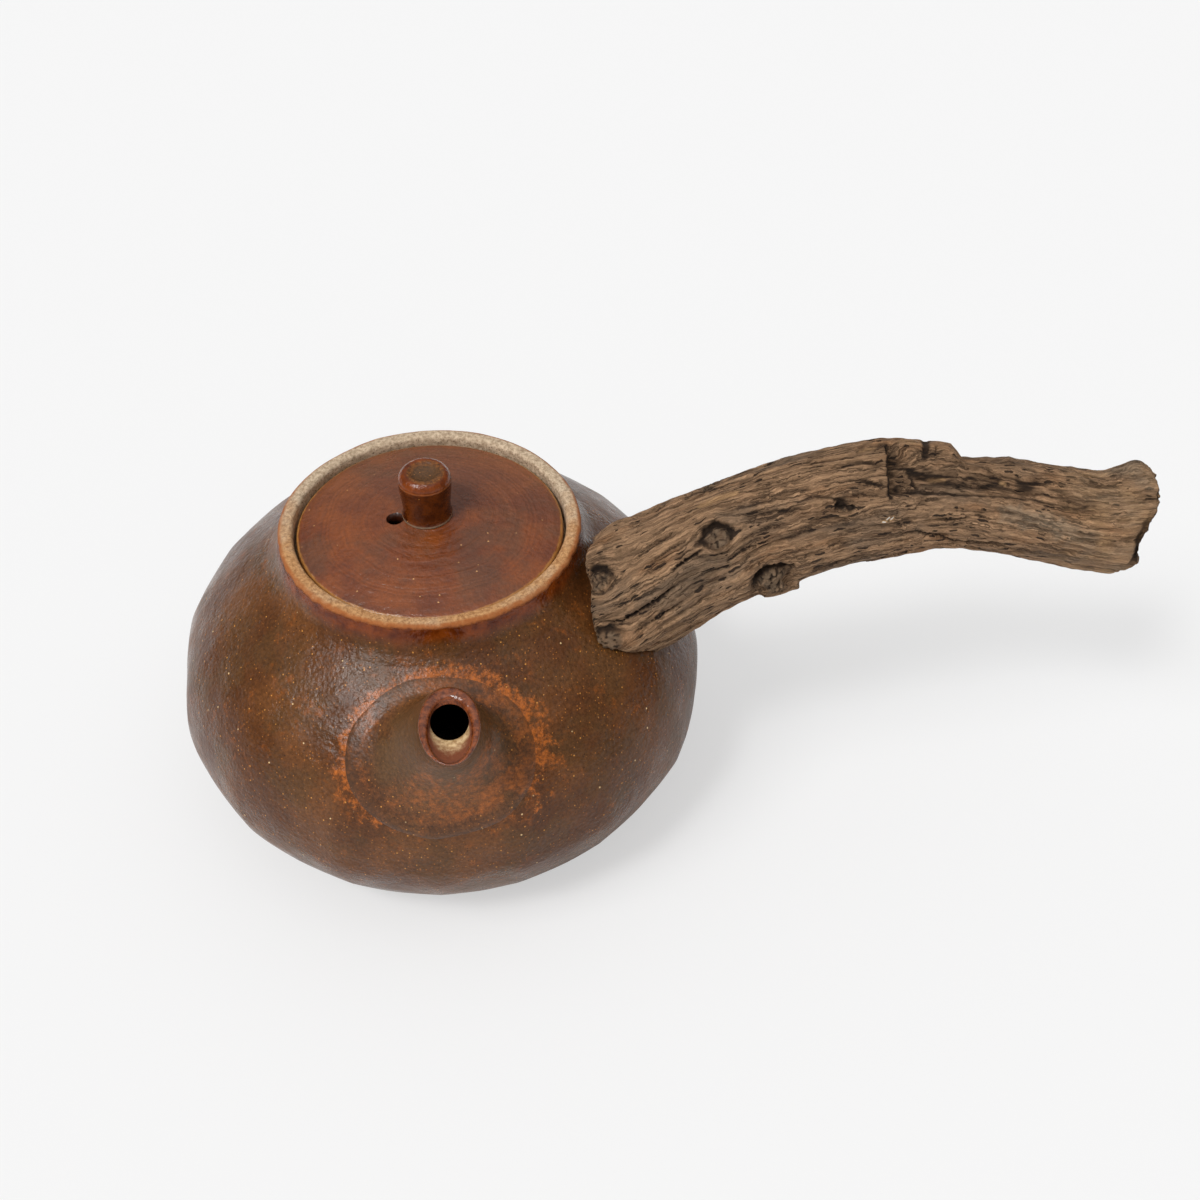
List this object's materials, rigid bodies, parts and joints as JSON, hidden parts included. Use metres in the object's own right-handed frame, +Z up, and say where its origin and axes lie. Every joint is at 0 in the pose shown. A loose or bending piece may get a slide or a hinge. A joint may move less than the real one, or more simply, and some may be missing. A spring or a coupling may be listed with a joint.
{
  "type": "side-handle teapot",
  "caption": "Squat side-handled stoneware teapot with a carved belly, a horn spout, a lift-off lid with a knob and a driftwood handle",
  "frame": {"origin": "centre of the pot's flat base, on the axis of the neck", "axes": "+X out along the handle, -Y towards the side that the spout faces, +Z up along the neck's axis"},
  "size_m": [0.2271, 0.1316, 0.1013],
  "materials": {
    "pot_glaze": "satin brown iron glaze with orange mottling and fine specks",
    "bare_rim": "bare speckled sandy clay on the rim over a red-brown glazed band",
    "spout_glaze": "satin olive-brown iron glaze, bare clay at the lip",
    "inner_clay": "bare fired clay",
    "tenon_clay": "bare fired clay",
    "bedding": "dark hardened lacquer putty",
    "driftwood": "weathered unfinished driftwood",
    "lid_glaze": "semi-gloss red-brown glaze with throwing rings",
    "flange_clay": "bare fired clay",
    "knob_glaze": "glossy dark amber-brown glaze"
  },
  "bodies": {
    "pot": {"pot_body": "pot_glaze", "neck_collar": "bare_rim", "spout": "spout_glaze", "strainer": "inner_clay", "handle_tenon": "tenon_clay", "handle_bedding": "bedding", "driftwood_handle": "driftwood"},
    "lid": {"lid_disc": "lid_glaze", "lid_flange": "flange_clay", "lid_knob": "knob_glaze"}
  },
  "joints": [
    {"name": "lid_lift", "type": "slide", "parent": "pot", "child": "lid", "axis": [0, 0, 1], "range_m": [0, 0.08]}
  ]
}
